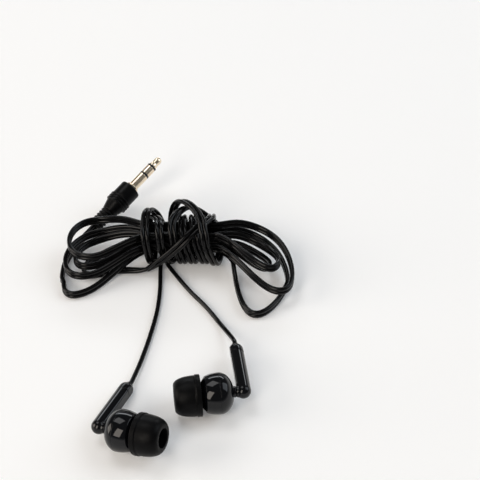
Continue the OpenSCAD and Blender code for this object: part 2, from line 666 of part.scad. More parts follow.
earpiece(LEFT) ear_tip();  // left_ear_tip
earpiece(LEFT) nozzle_screen();  // left_nozzle_screen
earpiece(LEFT) front_housing();  // left_front_housing
earpiece(LEFT) driver_grille();  // left_driver_grille
earpiece(LEFT) diaphragm();  // left_diaphragm
earpiece(LEFT) voice_coil();  // left_voice_coil
earpiece(LEFT) driver_frame();  // left_driver_frame
earpiece(LEFT) yoke();  // left_yoke
earpiece(LEFT) magnet();  // left_magnet
earpiece(LEFT) pole_plate();  // left_pole_plate
earpiece(LEFT) terminal_board();  // left_terminal_board
earpiece(LEFT) rear_housing();  // left_rear_housing
stem(LEFT);  // left_stem
along_stem(LEFT) stem_cap();  // left_stem_cap
along_stem(LEFT) cable_grommet();  // left_cable_grommet
along_stem(LEFT) cable_end();  // left_cable_end
driver_wires(LEFT);  // left_driver_wires
earpiece(RIGHT) ear_tip();  // right_ear_tip
earpiece(RIGHT) nozzle_screen();  // right_nozzle_screen
earpiece(RIGHT) front_housing();  // right_front_housing
earpiece(RIGHT) driver_grille();  // right_driver_grille
earpiece(RIGHT) diaphragm();  // right_diaphragm
earpiece(RIGHT) voice_coil();  // right_voice_coil
earpiece(RIGHT) driver_frame();  // right_driver_frame
earpiece(RIGHT) yoke();  // right_yoke
earpiece(RIGHT) magnet();  // right_magnet
earpiece(RIGHT) pole_plate();  // right_pole_plate
earpiece(RIGHT) terminal_board();  // right_terminal_board
earpiece(RIGHT) rear_housing();  // right_rear_housing
stem(RIGHT);  // right_stem
along_stem(RIGHT) stem_cap();  // right_stem_cap
along_stem(RIGHT) cable_grommet();  // right_cable_grommet
along_stem(RIGHT) cable_end();  // right_cable_end
driver_wires(RIGHT);  // right_driver_wires
plug() plug_tip();
plug() plug_tip_insulator();
plug() plug_ring();
plug() plug_ring_insulator();
plug() plug_sleeve();
plug() plug_boot();
plug() plug_cord_end();
plug() plug_wires();
main_cord_tail();
main_cord_hank();
main_cord_bridge();
main_cord_wrap();
lead(left_lead_points);  // left_lead
lead(right_lead_points);  // right_lead
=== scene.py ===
import math

import bmesh
import bpy
from mathutils import Matrix, Vector


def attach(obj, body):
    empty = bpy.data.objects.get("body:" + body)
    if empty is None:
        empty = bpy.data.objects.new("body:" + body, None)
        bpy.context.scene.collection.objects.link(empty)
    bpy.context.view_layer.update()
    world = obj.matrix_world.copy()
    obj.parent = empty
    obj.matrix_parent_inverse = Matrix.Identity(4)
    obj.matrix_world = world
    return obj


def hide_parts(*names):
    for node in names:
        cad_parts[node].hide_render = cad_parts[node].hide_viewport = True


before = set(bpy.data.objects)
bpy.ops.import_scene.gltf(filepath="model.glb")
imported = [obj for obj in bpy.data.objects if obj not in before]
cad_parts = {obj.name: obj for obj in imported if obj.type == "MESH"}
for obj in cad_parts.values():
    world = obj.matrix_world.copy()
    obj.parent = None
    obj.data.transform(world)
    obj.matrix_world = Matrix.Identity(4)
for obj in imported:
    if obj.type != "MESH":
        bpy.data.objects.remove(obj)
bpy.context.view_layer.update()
scene = bpy.context.scene


# Camera. It looks down on the earphones at 43 degrees from 435 mm away, square to the
# length of the wound cord, with the lens of a short telephoto.
look_down = 43
lens = bpy.data.cameras.new("lens")
lens.sensor_width = 36
lens.lens = 92.8
lens.clip_start, lens.clip_end = 0.01, 20
camera = bpy.data.objects.new("camera", lens)
camera.location = (0.0205, -0.2419, 0.2967)
camera.rotation_euler = (math.radians(90 - look_down), 0, 0)
scene.collection.objects.link(camera)
scene.camera = camera
scene.view_settings.view_transform = "Standard"


# Cord. Two strands of stranded copper in black PVC, 1.5 mm each, moulded side by side as a
# flat twin about 1.2 m long. From the plug it makes four loops drawn in at the waist, winds
# round that waist, and parts under it into the two leads, which run to the earpieces.
mm = 0.001
strand_d = 1.5
strand_r = strand_d / 2
waist_x, waist_y = 0.8, 68.3
waist_half_l, waist_lift, layer_step = 11, 2.4, 3.9
rings_a_loop, hank_rings, hank_steps = 24, 98, 480
hank_loops = hank_rings / rings_a_loop

# Each fold of the hank: its reach from the waist, half its width, and how far it sags to
# the front for each millimetre past the waist.
left_folds = [(39.6, 10, 0.66), (39.5, 9.2, 0.34), (38.4, 9, 0.09), (36.2, 6.4, 0.34), (33.6, 4.2, 0.5)]
right_folds = [(35.8, 9.8, 0.75), (37.2, 11.4, 0.72), (32.6, 7, 0.72), (29.8, 5, 0.7)]
fold_softness, sag_softness = 3.5, 6

# Each loop passes the waist's middle this far in front and behind, in this layer, and
# climbs to the next layer on its way back. Turns of the winding lie below the waist and
# lift it; past them the loops come down again, and the loose low loop sooner still.
near_step = [0.75, 4.1, 2.8, 1.5, 2.2]
far_step = [4.4, 2.8, 1.95, 2.4]
fold_layer = [0, 1, 2, 1, 0]
climb_start, climb_l = 0.46, 0.16
lifted_half_l, lift_run = 17, 14
low_loop_left, low_loop_front, low_loop_down = 5.9, 10.7, 0.4


def ease(t):
    """A soft step from 0 to 1."""
    t = min(1, max(0, t))
    return t * t * (3 - 2 * t)


def past_waist(x, softness):
    """How far a point lies beyond the waist's end, with a soft start."""
    return math.hypot(max(0, abs(x) - waist_half_l), softness) - softness


def low_loop_share(u):
    """How far a point takes part in the loose low loop at the front right, from 0 to 1."""
    start, end, lean, sharpness = 0.329, 0.5, 0.82, 1.3
    if not start < u < end:
        return 0
    return math.sin(math.pi * ((u - start) / (end - start)) ** lean) ** sharpness


def hank_point(u):
    """A point of the hank after u loops, counted from the left fold of the first one."""
    turn, loop = math.radians(180 + 360 * u), math.floor(u)
    side, fold = math.sin(turn), math.cos(turn)
    reach, width, sag = left_folds[math.floor(u + 0.5)] if fold < 0 else right_folds[min(loop, 3)]
    step = near_step[loop] if side <= 0 else far_step[min(loop, 3)]
    x = reach * fold
    spread = past_waist(x, fold_softness) / past_waist(reach, fold_softness)
    y = side * (step + 2 * width * spread) - sag * past_waist(x, sag_softness)
    climbed = ease((u - loop - climb_start) / climb_l)
    layer = fold_layer[loop] + (fold_layer[min(loop + 1, 4)] - fold_layer[loop]) * climbed
    loose = low_loop_share(u)
    lift = waist_lift * (1 - ease((abs(x) - lifted_half_l) / lift_run)) * (1 - ease(loose / low_loop_down))
    return Vector((waist_x + x - low_loop_left * loose, waist_y + y - low_loop_front * loose,
                   strand_d + layer * layer_step + lift))


# The winding's route, by its turn in degrees: how far along the waist it lies, and how far
# out it rides over the turns and folds below it.
wrap_x = [(-60, -17.1), (90, 11.3), (130, 11.1), (180, 9.9), (270, 7.5), (360, 6), (720, 2.35),
          (1080, -1.3), (1165, -2.2), (1190, 0.2), (1240, 7.7), (1280, 12.5), (1350, 11.4), (1440, 9.9),
          (1530, 7.7), (1575, -0.8), (1600, -3.9), (1710, -3.6), (1760, -5.7), (1800, -6.3), (1895, -6.3),
          (1915, -7.1), (1950, -11.6), (2070, -11.6), (2290, -11.1), (2330, -7.8), (2500, -7.85)]
wrap_off = [(-60, 2.35), (85, 2.35), (125, 0.1), (1120, 0.1), (1155, 2.2), (1175, 3), (1205, 3),
            (1240, 2.3), (1285, 2.2), (1315, 0.1), (1350, 0.1), (1385, 0.2), (1450, 2.2), (1530, 5.4),
            (1570, 5.2), (1600, 3), (1640, 0.1), (1830, 0.1), (1875, 2), (1885, 2), (1905, 0.1),
            (2190, 0.1), (2250, 0.8), (2295, 2.4), (2345, 2.4), (2372, 0.1), (2500, 0.1)]
wrap_from, wrap_to, wrap_step, ring_turn = -30, 2430, 3, 360 / rings_a_loop
bundle_r, bundle_squareness, wrap_lean = 6.9, 3, 1.3


def softened(t, table):
    """The table's value at an angle, averaged over 40 degrees."""
    nearby = (t - 20, t - 10, t, t + 10, t + 20)
    total = 0
    for at in nearby:
        for (t0, v0), (t1, v1) in zip(table, table[1:]):
            if at <= t1:
                total += v0 + (v1 - v0) * max(0, at - t0) / (t1 - t0)
                break
    return total / len(nearby)


def wrap_out(t):
    """The way out from the waist: 0 degrees in front, 90 on top."""
    return Vector((0, -math.cos(math.radians(t)), math.sin(math.radians(t))))


def wrap_point(t):
    """A point of the winding, whose leaning turns go round the waist as a rounded square."""
    turn, half_w = math.radians(t), bundle_r + softened(t, wrap_off)
    flatness = sum((abs(part) / half_w) ** bundle_squareness for part in (math.cos(turn), math.sin(turn)))
    middle = Vector((waist_x + softened(t, wrap_x) - wrap_lean * math.sin(turn), waist_y,
                     waist_lift + layer_step + strand_d))
    return middle + wrap_out(t) * flatness ** (-1 / bundle_squareness)


def through(points):
    """A smooth run through given points, without its last one."""
    run, steps = [], 8
    for i in range(len(points) - 1):
        a, b, c, d = (Vector(points[min(max(k, 0), len(points) - 1)]) for k in (i - 1, i, i + 1, i + 2))
        for k in range(steps):
            t = k / steps
            run.append(0.5 * (2 * b + (c - a) * t + (2 * a - 5 * b + 4 * c - d) * t * t
                              + (3 * b - a - 3 * c + d) * t ** 3))
    return run


def straight_end(last, before):
    """The point one strand's thickness straight on past the last one."""
    return last + (last - before).normalized() * strand_d


hank = [straight_end(hank_point(0), hank_point(1 / rings_a_loop)),
        *(hank_point(hank_loops * i / hank_steps) for i in range(hank_steps + 1)),
        straight_end(hank_point(hank_loops), hank_point((hank_rings - 1) / rings_a_loop))]
wrap_turns = [wrap_from + i * wrap_step for i in range((wrap_to - wrap_from) // wrap_step + 1)]
winding = [straight_end(wrap_point(wrap_from), wrap_point(wrap_from + ring_turn)),
           *(wrap_point(t) for t in wrap_turns),
           straight_end(wrap_point(wrap_to), wrap_point(wrap_to - ring_turn))]
plug_at, plug_turn, plug_tilt = Vector((-30.8, 80.4, 2.65)), math.radians(47.6), math.radians(18)
plug_way = Vector((math.cos(plug_tilt) * math.cos(plug_turn), math.cos(plug_tilt) * math.sin(plug_turn),
                   math.sin(plug_tilt)))
tail = through([plug_at, plug_at - plug_way * 2, (-34, 76.2, 1.6), (-36.2, 71.5, 1.5), (-38.3, 66.5, 1.5),
                (-39.6, 61.5, 1.5), hank[1] + (hank[0] - hank[1]).normalized() * 3, hank[0]])
bridge = through([hank[-1], (-24.6, 58.9, 1.3), (-21.6, 60, 0.85), (-18, 60.2, 0.87), (-14.6, 60, 1),
                  winding[0]])[1:]
twin = tail + hank + bridge + winding

# The way across both strands at each point: upright in the hank, turning flat on the
# bridge, and along the waist in the winding, smoothed where these meet.
bridge_leans = [0, 60, 85, 85, 75, 45]
across_smoothing = 12


def across_leaning(way, lean):
    """The way across both strands: upright, or leaning over by an angle."""
    upright = (Vector((0, 0, 1)) - way * way.z).normalized()
    flat = way.cross(Vector((0, 0, 1))).normalized()
    return upright * math.cos(math.radians(lean)) + flat * math.sin(math.radians(lean))


def bridge_lean(part):
    """How far the twin leans over on its way from the hank to the winding."""
    last = len(bridge_leans) - 1
    i = min(int(part * last), last - 1)
    return bridge_leans[i] + (bridge_leans[i + 1] - bridge_leans[i]) * (part * last - i)


ways = [(twin[min(i + 1, len(twin) - 1)] - twin[max(i - 1, 0)]).normalized() for i in range(len(twin))]
bridge_start, wrap_start = len(tail) + len(hank), len(tail) + len(hank) + len(bridge)
turns = [wrap_from, *wrap_turns, wrap_to]
across, last = [], len(ways) - 1
for i, way in enumerate(ways):
    if i < bridge_start:
        across.append(across_leaning(way, 0))
    elif i < wrap_start:
        across.append(across_leaning(way, bridge_lean((i - bridge_start + 1) / len(bridge))))
    else:
        across.append(wrap_out(turns[i - wrap_start]).cross(way).normalized())
for _ in range(across_smoothing):
    across = [across[max(i - 1, 0)] + across[i] * 2 + across[min(i + 1, last)] for i in range(len(across))]
    across = [(a - way * a.dot(way)).normalized() for a, way in zip(across, ways)]


class Level:
    """A socket's number, which varies over a surface: arithmetic on it adds the Math nodes."""

    def __init__(self, shading, socket):
        self.shading, self.socket = shading, socket

    def __mul__(self, other):
        return self.shading.node("ShaderNodeMath", {"operation": "MULTIPLY"}, {0: self, 1: other})

    __rmul__ = __mul__


class Shading:
    """The nodes of a finish, or of the room's own light."""

    def __init__(self, owner):
        owner.use_nodes = True
        self.tree = owner.node_tree

    def set(self, socket, value):
        """A socket gets a link, a colour, or a plain value."""
        if isinstance(value, Level):
            self.tree.links.new(value.socket, socket)
        elif socket.type == "RGBA":
            socket.default_value = (*value, 1)
        else:
            socket.default_value = value

    def node(self, kind, settings=(), sockets=(), output=0):
        """A shader node, its settings made before its sockets are filled."""
        made = self.tree.nodes.new(kind)
        for name, value in dict(settings).items():
            setattr(made, name, value)
        for name, value in dict(sockets).items():
            self.set(made.inputs[name], value)
        return Level(self, made.outputs[output])


class Finish(Shading):
    """One material of the real thing: a Principled shader whose fixed sockets are given by
    name. Its patterns lie on Object coordinates, in metres, so a grain keeps its true size."""

    noise_low, noise_high = 0.3, 0.7

    def __init__(self, name, **fixed):
        self.material = bpy.data.materials.new(name)
        super().__init__(self.material)
        self.shader = self.tree.nodes["Principled BSDF"]
        self.surface(**fixed)
        self.material.diffuse_color = tuple(self.shader.inputs["Base Color"].default_value)

    def surface(self, **sockets):
        """Sets the shader's own sockets, such as base_color, to what holds all over or varies."""
        for name, value in sockets.items():
            self.set(self.shader.inputs[name.replace("_", " ").title().replace("Ior", "IOR")], value)
        return self

    def place(self, turn=(0, 0, 0)):
        """Where on the piece the pattern lies, in metres."""
        where = self.node("ShaderNodeTexCoord", output="Object")
        return self.node("ShaderNodeMapping", sockets={"Vector": where, "Rotation": turn})

    def grain(self, size, detail=2.0, place=None):
        """Noise between 0 and 1 whose grains are about size metres across."""
        return self.node("ShaderNodeTexNoise", sockets={
            "Vector": place or self.place(), "Scale": 1 / size, "Detail": detail})

    def between(self, level, low, high):
        """The noise spread from low to high, held there at both ends."""
        return self.node("ShaderNodeMapRange", {"clamp": True}, {
            "Value": level, "From Min": self.noise_low, "From Max": self.noise_high,
            "To Min": low, "To Max": high})

    def tint(self, level, dark, light):
        """A colour between two others."""
        mix = self.node("ShaderNodeMix", {"data_type": "RGBA"}, {"Factor": level}).socket.node
        for name, colour in (("A", dark), ("B", light)):
            self.set([s for s in mix.inputs if s.name == name and s.type == "RGBA"][0], colour)
        return Level(self, [s for s in mix.outputs if s.type == "RGBA"][0])

    def relief(self, height, distance):
        """Fine bumps that follow a height between 0 and 1, and stand up to distance metres high."""
        self.surface(normal=self.node("ShaderNodeBump", sockets={
            "Height": height, "Distance": distance, "Strength": 1.0}))


jacket = Finish("cord_jacket", base_color=(0.0018, 0.0018, 0.002), specular_ior_level=0.2)
jacket.surface(roughness=jacket.between(jacket.grain(2.2 * mm), 0.1, 0.17),
               base_color=jacket.tint(jacket.grain(9 * mm), (0.0012, 0.0012, 0.0014), (0.003, 0.003, 0.0033)))
jacket.relief(jacket.grain(0.35 * mm, 3), 0.006 * mm)


def strand(name, side, lead_points):
    """One strand from its earpiece to the plug, as one curve whose steps are never too short."""
    shortest_step = 0.25
    points = [p + a * side * strand_r for p, a in zip(twin, across)]
    points += through(lead_points) + [Vector(lead_points[-1])]
    kept = [points[-1]]
    for p in reversed(points[:-1]):
        if (p - kept[-1]).length > shortest_step:
            kept.append(p)
    curve = bpy.data.curves.new(name, "CURVE")
    curve.dimensions = "3D"
    curve.bevel_depth = strand_r * mm
    curve.bevel_resolution = 3
    curve.use_fill_caps = True
    spline = curve.splines.new("POLY")
    spline.points.add(len(kept) - 1)
    for knot, p in zip(spline.points, kept):
        knot.co = (*(p * mm), 1)
    spline.use_smooth = True
    curve.materials.append(jacket.material)
    piece = bpy.data.objects.new(name, curve)
    scene.collection.objects.link(piece)
    return piece


# Earpieces. Each is a barrel of two moulded halves with a hollow stem at its back, and lies
# on its side: a place gives the way its tip points, how far it tilts, and its stem's side.
tip_r, shell_r, rear_l = 6.45, 6.4, 4.5
stem_r, stem_back, stem_l, grommet_r = 2.35, 7.3, 18.0, 1.2
stem_mouth = stem_l + math.sqrt(stem_r ** 2 - grommet_r ** 2)
stem_out = stem_mouth + 0.6


class Earpiece:
    """One earpiece's place: its tip points along X and its stem starts at the back."""

    def __init__(self, name, at, yaw, tilt, side, height, end_height):
        self.name, self.side = name, side
        yaw, tilt = math.radians(yaw), math.radians(tilt)
        drop = height - stem_back * math.sin(tilt) - end_height
        roll = -side * math.asin(drop / (stem_l * math.cos(tilt)))
        self.place = (Matrix.Translation(Vector((*at, height))) @ Matrix.Rotation(yaw, 4, "Z")
                      @ Matrix.Rotation(-tilt, 4, "Y") @ Matrix.Rotation(roll, 4, "X"))
        self.stem_place = (self.place @ Matrix.Translation((-stem_back, 0, 0))
                           @ Matrix.Rotation(math.radians(90 * side), 4, "Z"))

    def along_stem(self, x):
        return self.stem_place @ Vector((x, 0, 0))


left_tilt, right_end_height = 9.9, 4.9
left_height = math.hypot(rear_l * math.sin(math.radians(left_tilt)),
                         shell_r * math.cos(math.radians(left_tilt)))
left = Earpiece("left", (-14.7, -13), -20.4, left_tilt, 1, left_height, stem_r)
right = Earpiece("right", (14.3, 1.1), -172.6, 0, -1, max(tip_r, shell_r), right_end_height)
earpieces = [left, right]


# Leads. Past the winding the twin is split: a strand leaves from under it towards each
# earpiece, lies on the table in an easy curve, and enters the grommet of the stem.
wrap_end, lying = winding[-1], strand_r
to_left = 1 if across[-1].x < 0 else -1
left_lead = [wrap_end + Vector((-strand_r, 0, 0)), wrap_end + Vector((-strand_r - 0.1, -strand_d, 0)),
             (-6.7, 61, lying), (-6.4, 51, lying), (-6.9, 41, lying), (-8.6, 30, lying), (-10.9, 19, 0.9),
             left.along_stem(stem_out + 2), left.along_stem(stem_out)]
right_lead = [wrap_end + Vector((strand_r, 0, 0)), wrap_end + Vector((strand_r + 0.1, -strand_d, 0)),
              (-3.7, 62, lying), (3.2, 51, lying), (9.2, 43, lying), (14.3, 34.8, 0.85), (17.1, 28.8, 2.6),
              right.along_stem(stem_out + 2), right.along_stem(stem_out)]
cord_nodes = ["main_cord_tail", "main_cord_hank", "main_cord_bridge", "main_cord_wrap"]
left_strand = strand("left_strand", to_left, left_lead)
right_strand = strand("right_strand", -to_left, right_lead)
for piece, lead_node in ((left_strand, "left_lead"), (right_strand, "right_lead")):
    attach(piece, "set")
    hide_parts(lead_node, *cord_nodes)


# Ear tips. A moulded silicone tip has a tube that grips the nozzle and a thin domed skirt
# that folds back over it, with a thicker band at the rim. It pulls off by hand.

# Like most of the small parts a tip is round, so it is spun from an outline of points: the
# distance along X, the radius and, where a corner is rounded, how much of it is cut.
def rounded(outline, closed):
    """The outline with its marked corners rounded off, at most to near the middle of a side."""
    points, count, corner_steps, most = [], len(outline), 5, 0.49
    for i, (x, r, *cut) in enumerate(outline):
        corner = Vector((x, r))
        if not cut or (not closed and i in (0, count - 1)):
            points.append(corner)
            continue
        before, after = Vector(outline[i - 1][:2]), Vector(outline[(i + 1) % count][:2])
        start, end = (corner + (side - corner).normalized() * min(cut[0], (side - corner).length * most)
                      for side in (before, after))
        for k in range(corner_steps + 1):
            t = k / corner_steps
            points.append(start * (1 - t) ** 2 + corner * 2 * t * (1 - t) + end * t * t)
    return points


def turned(outline, steps=96):
    """A solid of revolution about X, in millimetres. An outline that keeps off the axis is closed."""
    closed = all(point[1] > 0 for point in outline)
    shape = bmesh.new()
    ring = [shape.verts.new((p.x, p.y, 0)) for p in rounded(outline, closed)]
    pairs = list(zip(ring, ring[1:])) + ([(ring[-1], ring[0])] if closed else [])
    edges = [shape.edges.new(pair) for pair in pairs]
    bmesh.ops.spin(shape, geom=ring + edges, cent=(0, 0, 0), axis=(1, 0, 0),
                   angle=math.tau, steps=steps, use_merge=True)
    bmesh.ops.remove_doubles(shape, verts=shape.verts, dist=1e-5)
    bmesh.ops.recalc_face_normals(shape, faces=shape.faces)
    return shape


def assembled(name, shape, place, finish, body, slot, *nodes):
    """The finished piece: put in its place, in metres, and fixed to the body it moves with."""
    bmesh.ops.transform(shape, matrix=Matrix.Scale(mm, 4) @ place, verts=shape.verts)
    for face in shape.faces:
        face.smooth = True
    mesh = bpy.data.meshes.new(name)
    shape.to_mesh(mesh)
    shape.free()
    mesh.materials.append(finish.material)
    piece = bpy.data.objects.new(name, mesh)
    scene.collection.objects.link(piece)
    normals = piece.modifiers.new("normals", "WEIGHTED_NORMAL")
    normals.weight, normals.keep_sharp = 90, True
    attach(piece, body)
    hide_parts(*nodes)
    return piece


silicone = Finish("ear_tip_silicone", base_color=(0.0022, 0.0022, 0.0024), specular_ior_level=0.07)
silicone.surface(roughness=silicone.between(silicone.grain(1.6 * mm, 3), 0.34, 0.44),
                 base_color=silicone.tint(silicone.grain(4 * mm),
                                          (0.0015, 0.0015, 0.0017), (0.0032, 0.0032, 0.0035)))
silicone.relief(silicone.grain(0.12 * mm, 3), 0.004 * mm)
front_l, nozzle_l, nozzle_land_r = 5.9, 4.7, 2.45
nozzle_end = front_l + nozzle_l
band_w, band_step, tip_l, tip_wall, tip_front_r, mouth_r = 1.5, 0.2, 8.2, 0.55, 3.6, 2.95
tip_bore_r, tip_tube_r = nozzle_land_r + 0.05, nozzle_land_r + 0.85
rim_x, tube_x, tube_end = front_l - 0.2, front_l + 0.3, nozzle_end + 0.3
band_x, mouth_x = rim_x + band_w, rim_x + tip_l
dome_r = tip_r - band_step


def dome(length, rim, end, angles):
    """The skirt's outline from the band to the mouth, a little fuller than an oval."""
    fullness = 0.85
    return [(band_x + length * math.sin(a) ** fullness, end + (rim - end) * math.cos(a) ** fullness)
            for a in map(math.radians, angles)]


outside_steps, inside_steps = 28, 16
outside = dome(mouth_x - band_x, dome_r, tip_front_r,
               [90 * i / outside_steps for i in range(outside_steps)])
inside = dome(mouth_x - band_x - 2 * tip_wall, dome_r - tip_wall, tip_tube_r,
              [90 * i / inside_steps for i in range(inside_steps, -1, -1)])
for ear in earpieces:
    assembled(f"{ear.name}_soft_tip", turned([
        (rim_x, tip_r - tip_wall, 0.15), (rim_x, tip_r, 0.2), (band_x, tip_r, 0.1), *outside,
        (mouth_x, tip_front_r, 0.25), (mouth_x, mouth_r, 0.25), (tube_end, mouth_r, 0.3),
        (tube_end, tip_bore_r), (tube_x, tip_bore_r, 0.2), (tube_x, tip_tube_r, 0.2), *inside]),
        ear.place, silicone, f"{ear.name}_tip", "silicone", f"{ear.name}_ear_tip")


# Housings. Two injection-moulded halves of polished blue-black ABS, pressed together at a
# seam: the front one carries the nozzle, the rear one has the hole for the stem's neck.
gloss = Finish("housing_gloss", base_color=(0.0018, 0.002, 0.0028), specular_ior_level=0.28)
gloss.surface(roughness=gloss.between(gloss.grain(3.5 * mm, 4), 0.03, 0.07),
              base_color=gloss.tint(gloss.grain(5 * mm), (0.0014, 0.0016, 0.0022), (0.0026, 0.003, 0.0042)))
gloss.relief(gloss.grain(2.6 * mm, 1), 0.002 * mm)
shell_wall, spigot_l, spigot_wall = 0.8, 0.6, 0.5
shell_bore_r = shell_r - shell_wall
barrel_l, barrel_drop, barrel_curve = 4.3, 0.8, 2.2
cone_r, land_l, nozzle_waist_r, nozzle_bore_r, seat_r, seat_x = 3.3, 1.1, 2.2, 1.6, 1.95, nozzle_end - 0.2
ledge_x, ledge_r, funnel_end = 1.6, 4.8, 4.6
rear_flat_r, neck_hole_r, rear_wall, bore_l = 2.6, 1.15, 0.6, rear_l - shell_wall
rear_face = rear_l * math.sqrt(1 - (rear_flat_r / shell_r) ** 2)
rear_a, root_a, floor_a = (math.asin(x) for x in (rear_face / rear_l, shell_wall / bore_l,
                                                  (rear_face - rear_wall) / bore_l))
barrel_steps, oval_steps, bore_steps = 14, 22, 10
barrel = [(barrel_l * i / barrel_steps, shell_r - barrel_drop * (i / barrel_steps) ** barrel_curve)
          for i in range(1, barrel_steps)]
rear_oval = [(-rear_l * math.sin(a), shell_r * math.cos(a))
             for a in (rear_a * i / oval_steps for i in range(1, oval_steps))]
rear_bore = [(-bore_l * math.sin(a), shell_bore_r * math.cos(a))
             for a in (floor_a + (root_a - floor_a) * i / bore_steps for i in range(bore_steps + 1))]
for ear in earpieces:
    assembled(f"{ear.name}_front_half", turned([
        (0, shell_bore_r, 0.05), (0, shell_r, 0.1), *barrel, (barrel_l, shell_r - barrel_drop, 0.55),
        (front_l, cone_r, 0.1), (front_l, nozzle_land_r, 0.1), (front_l + land_l, nozzle_land_r, 0.1),
        (front_l + land_l, nozzle_waist_r, 0.1), (nozzle_end - land_l, nozzle_waist_r, 0.1),
        (nozzle_end - land_l, nozzle_land_r, 0.1), (nozzle_end, nozzle_land_r, 0.12),
        (nozzle_end, seat_r, 0.05), (seat_x, seat_r), (seat_x, nozzle_bore_r), (funnel_end, nozzle_bore_r),
        (ledge_x, ledge_r), (ledge_x, shell_bore_r)]),
        ear.place, gloss, "set", "shell", f"{ear.name}_front_housing")
    assembled(f"{ear.name}_rear_half", turned([
        (0, shell_bore_r - 0.05), (0, shell_r, 0.1), *rear_oval, (-rear_face, rear_flat_r, 0.15),
        (-rear_face, neck_hole_r, 0.1), (rear_wall - rear_face, neck_hole_r), *rear_bore,
        (-shell_wall, shell_bore_r - 0.05 - spigot_wall), (spigot_l, shell_bore_r - 0.05 - spigot_wall),
        (spigot_l, shell_bore_r - 0.05)]),
        ear.place, gloss, "set", "shell", f"{ear.name}_rear_housing")


# Stems. A hollow moulded stem of the same ABS: its round knob joins the housing's back by a
# short grooved neck, a flat strip runs along the side towards the housing, and a plug-in cap
# closes its far end round the lead.
def arc(middle, radius, start, end, steps):
    """Outline points on a circle about a point of the axis: angles from the axis, in degrees."""
    angles = (math.radians(start + (end - start) * i / steps) for i in range(steps + 1))
    return [(middle + radius * math.cos(a), radius * math.sin(a)) for a in angles]


def flattened(shape, side):
    """The stem's housing side cut flat, fading in past the knob."""
    depth, fade_start, fade_l, sharp = 0.4, 0.6, 2.4, math.radians(22)
    face_y = -side * (stem_r - depth)
    bmesh.ops.bisect_plane(shape, geom=[*shape.verts, *shape.edges, *shape.faces], dist=1e-5,
                           plane_co=(0, face_y, 0), plane_no=(0, 1, 0))
    for vert in shape.verts:
        if vert.co.y / face_y > 1:
            vert.co.y += (face_y - vert.co.y) * ease((vert.co.x - fade_start) / fade_l)
    for edge in shape.edges:
        edge.smooth = len(edge.link_faces) != 2 or edge.calc_face_angle() < sharp
    return shape


cap_start, cap_spigot_start, cap_spigot_r, lead_hole_r = stem_l - 1.6, 12.5, 1.3, 0.8
seam, seam_edge = 0.24, 0.12
stem_bore_r, stem_floor, grommet_start = 1.35, -0.9, 17
neck_start, neck_r, neck_collar_r, neck_groove_r, neck_bore_r = 1.4 - stem_back, 1.72, 1.9, 1.5, 0.72
cap_mouth, mouth_angle = 20.02, 31
knob_steps, cap_steps, ring_count, ring_gap = 18, 16, 8, 0.4
knob = arc(0, stem_r, 180, 90, knob_steps)
side_rings = [(ring_gap * (i + 1), stem_r) for i in range(ring_count)]
neck = [(neck_start, neck_bore_r), (neck_start, neck_collar_r, 0.2), (neck_start + 0.75, neck_r, 0.15),
        (neck_start + 0.9, neck_groove_r, 0.05), (neck_start + 1.05, neck_r, 0.1), (-rear_face, neck_r, 0.1),
        (-rear_face, neck_hole_r - 0.05), (rear_wall - rear_face, neck_hole_r - 0.05),
        (rear_wall - rear_face, neck_bore_r)]
for ear in earpieces:
    assembled(f"{ear.name}_stem_tube", flattened(turned([
        *knob, *side_rings, (cap_start - seam, stem_r, seam_edge), (cap_start - seam, stem_bore_r, 0.05),
        (stem_floor, stem_bore_r), (stem_floor, 0)]), ear.side),
        ear.stem_place, gloss, "set", "shell", f"{ear.name}_stem")
    assembled(f"{ear.name}_stem_neck", turned(neck, steps=64),
              ear.place, gloss, "set", "shell", f"{ear.name}_stem")
    assembled(f"{ear.name}_stem_end", flattened(turned([
        (cap_spigot_start, lead_hole_r), (cap_spigot_start, cap_spigot_r, 0.1), (cap_start, cap_spigot_r),
        (cap_start, stem_r, seam_edge), *arc(stem_l, stem_r, 90, mouth_angle, cap_steps),
        (cap_mouth, grommet_r), (grommet_start, grommet_r), (grommet_start, lead_hole_r)]), ear.side),
        ear.stem_place, gloss, "set", "shell", f"{ear.name}_stem_cap")


# Grommets. A soft PVC sleeve, pressed into the cap's end, keeps the lead from chafing on
# the cap's edge.
rubber = Finish("moulded_rubber", base_color=(0.0014, 0.0014, 0.0016), specular_ior_level=0.13)
rubber.surface(roughness=rubber.between(rubber.grain(1.2 * mm, 3), 0.27, 0.38),
               base_color=rubber.tint(rubber.grain(3 * mm), (0.001, 0.001, 0.0012), (0.0024, 0.0024, 0.0027)))
rubber.relief(rubber.grain(0.16 * mm, 3), 0.006 * mm)
sleeve_bore_r = strand_r + 0.025
for ear in earpieces:
    assembled(f"{ear.name}_lead_grommet", turned([
        (grommet_start, sleeve_bore_r), (grommet_start, grommet_r), (stem_out, grommet_r, 0.25),
        (stem_out, sleeve_bore_r, 0.1)], steps=48),
        ear.stem_place, rubber, "set", "cord", f"{ear.name}_cable_grommet")


# Plug contacts. Gold-plated brass: a tip with a shallow catch, a ring and a sleeve with a
# flange, stacked on one another's tubes and kept apart by black insulating bands.
def plain_finish(name, colour, grain, low, high, **fixed):
    """A finish of one colour whose roughness varies a little."""
    finish = Finish(name, base_color=colour, **fixed)
    return finish.surface(roughness=finish.between(finish.grain(grain * mm), low, high))


plug_place = (Matrix.Translation(plug_at) @ Matrix.Rotation(plug_turn, 4, "Z")
              @ Matrix.Rotation(-plug_tilt, 4, "Y"))
gold = Finish("gold_plate", base_color=(0.93, 0.80, 0.60), metallic=1.0)
